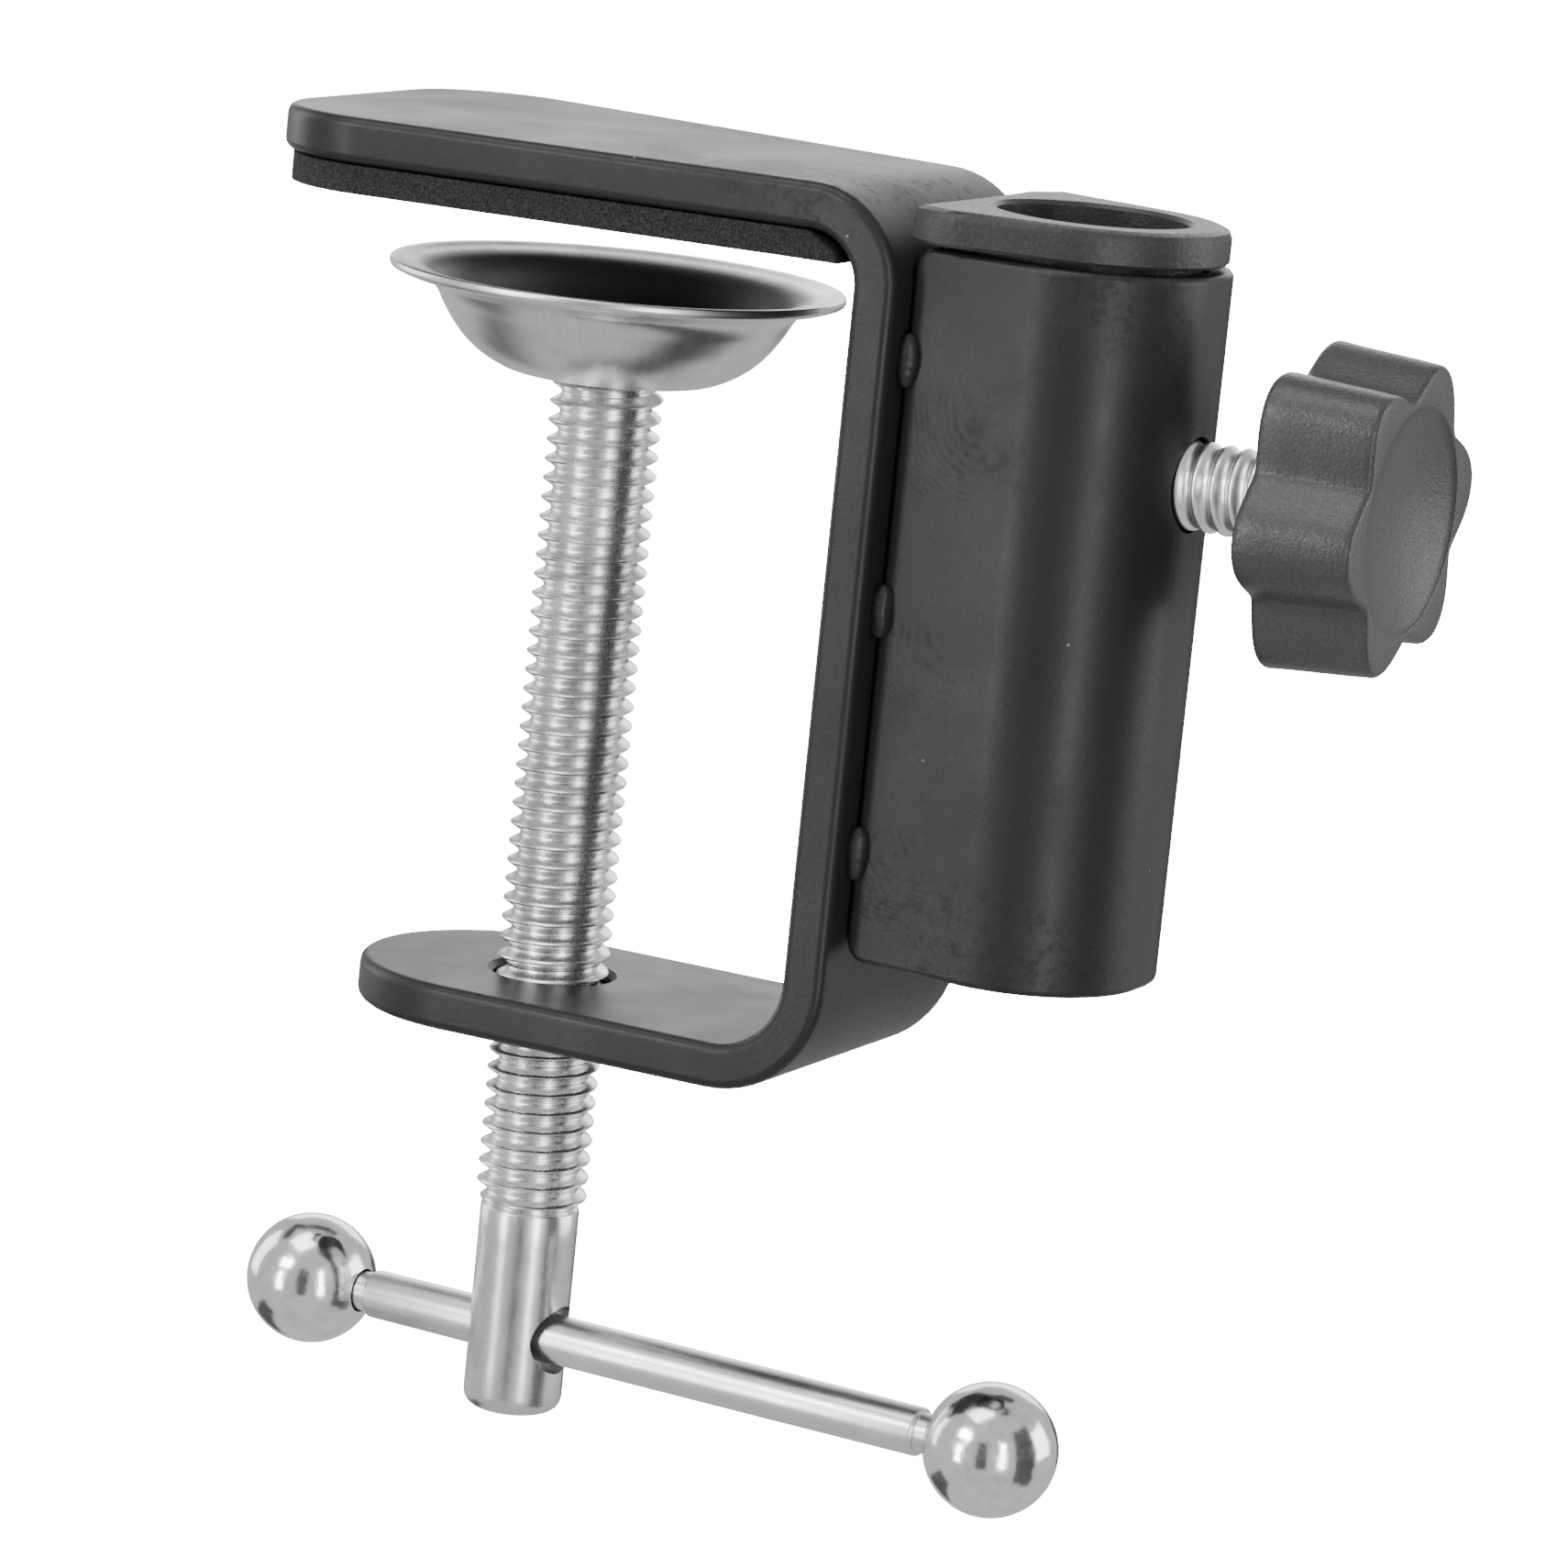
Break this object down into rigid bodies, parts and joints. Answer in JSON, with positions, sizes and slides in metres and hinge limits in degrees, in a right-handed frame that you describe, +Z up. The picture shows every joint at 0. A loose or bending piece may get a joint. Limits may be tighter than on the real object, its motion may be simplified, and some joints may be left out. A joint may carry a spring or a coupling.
{
  "type": "table clamp with post socket",
  "caption": "C-shaped table clamp with a foam-lined jaw, a swivel cup on a T-bar screw, and an upright post socket with a star-knob lock screw.",
  "frame": {"origin": "centre of the foam pad's clamping face, on the axis of the clamping spindle", "axes": "+Z up along the spindle, +X from the jaws towards the post socket and its lock knob, +Y to the far side of the clamp"},
  "size_m": [0.1047, 0.0402, 0.1152],
  "materials": {
    "frame_coat": "satin black powder coat on 4 mm steel",
    "socket_coat": "satin black powder coat on 2 mm steel",
    "weld_coat": "black-coated weld bead",
    "pad_foam": "black closed-cell foam, grainy",
    "liner_plastic": "fine moulded texture",
    "tip_nylon": "plain nylon",
    "stud_zinc": "bright zinc, threaded",
    "knob_plastic": "dark grey moulded, lightly textured",
    "spindle_zinc": "bright zinc, rolled thread",
    "washer_steel": "plain zinc",
    "cup_steel": "deep-drawn steel, drawing marks",
    "bar_chrome": "bright drawn bar",
    "ball_chrome": "polished"
  },
  "bodies": {
    "clamp_body": {"clamp_frame": "frame_coat", "jaw_pad": "pad_foam", "socket_shell": "socket_coat", "socket_liner": "liner_plastic", "weld_near_1": "weld_coat", "weld_near_2": "weld_coat", "weld_near_3": "weld_coat", "weld_far_1": "weld_coat", "weld_far_2": "weld_coat", "weld_far_3": "weld_coat"},
    "lock_carrier": {"stud_tip": "tip_nylon"},
    "lock_screw": {"knob_stud": "stud_zinc", "lock_knob": "knob_plastic"},
    "cup_carrier": {"cup_washer": "washer_steel"},
    "clamp_screw": {"spindle": "spindle_zinc"},
    "cup": {"pressure_cup": "cup_steel"},
    "tommy_bar": {"handle_bar": "bar_chrome", "handle_ball_left": "ball_chrome", "handle_ball_right": "ball_chrome"}
  },
  "joints": [
    {"name": "lock_travel", "type": "slide", "parent": "clamp_body", "child": "lock_carrier", "axis": [1, 0, 0], "range_m": [-0.009, 0.00075]},
    {"name": "lock_turn", "type": "hinge", "parent": "lock_carrier", "child": "lock_screw", "pos_m": [0.053, 0, -0.0155], "axis": [1, 0, 0], "range_deg": [-1930, 162]},
    {"name": "screw_travel", "type": "slide", "parent": "clamp_body", "child": "cup_carrier", "axis": [0, 0, 1], "range_m": [-0.053, 0.0046]},
    {"name": "screw_turn", "type": "hinge", "parent": "cup_carrier", "child": "clamp_screw", "pos_m": [0, 0, -0.0147], "axis": [0, 0, 1], "range_deg": [-11095, 964]},
    {"name": "cup_tilt", "type": "hinge", "parent": "cup_carrier", "child": "cup", "pos_m": [0, 0, -0.0142], "axis": [0, 1, 0], "range_deg": [-2.5, 2.5]},
    {"name": "bar_slide", "type": "slide", "parent": "clamp_screw", "child": "tommy_bar", "axis": [0.9986, -0.0523, 0], "range_m": [-0.0376, 0.0114]}
  ],
  "couplings": [
    {"joint": "lock_turn", "follows": "lock_travel", "rad_per_m": 3740},
    {"joint": "screw_turn", "follows": "screw_travel", "rad_per_m": 3653}
  ]
}
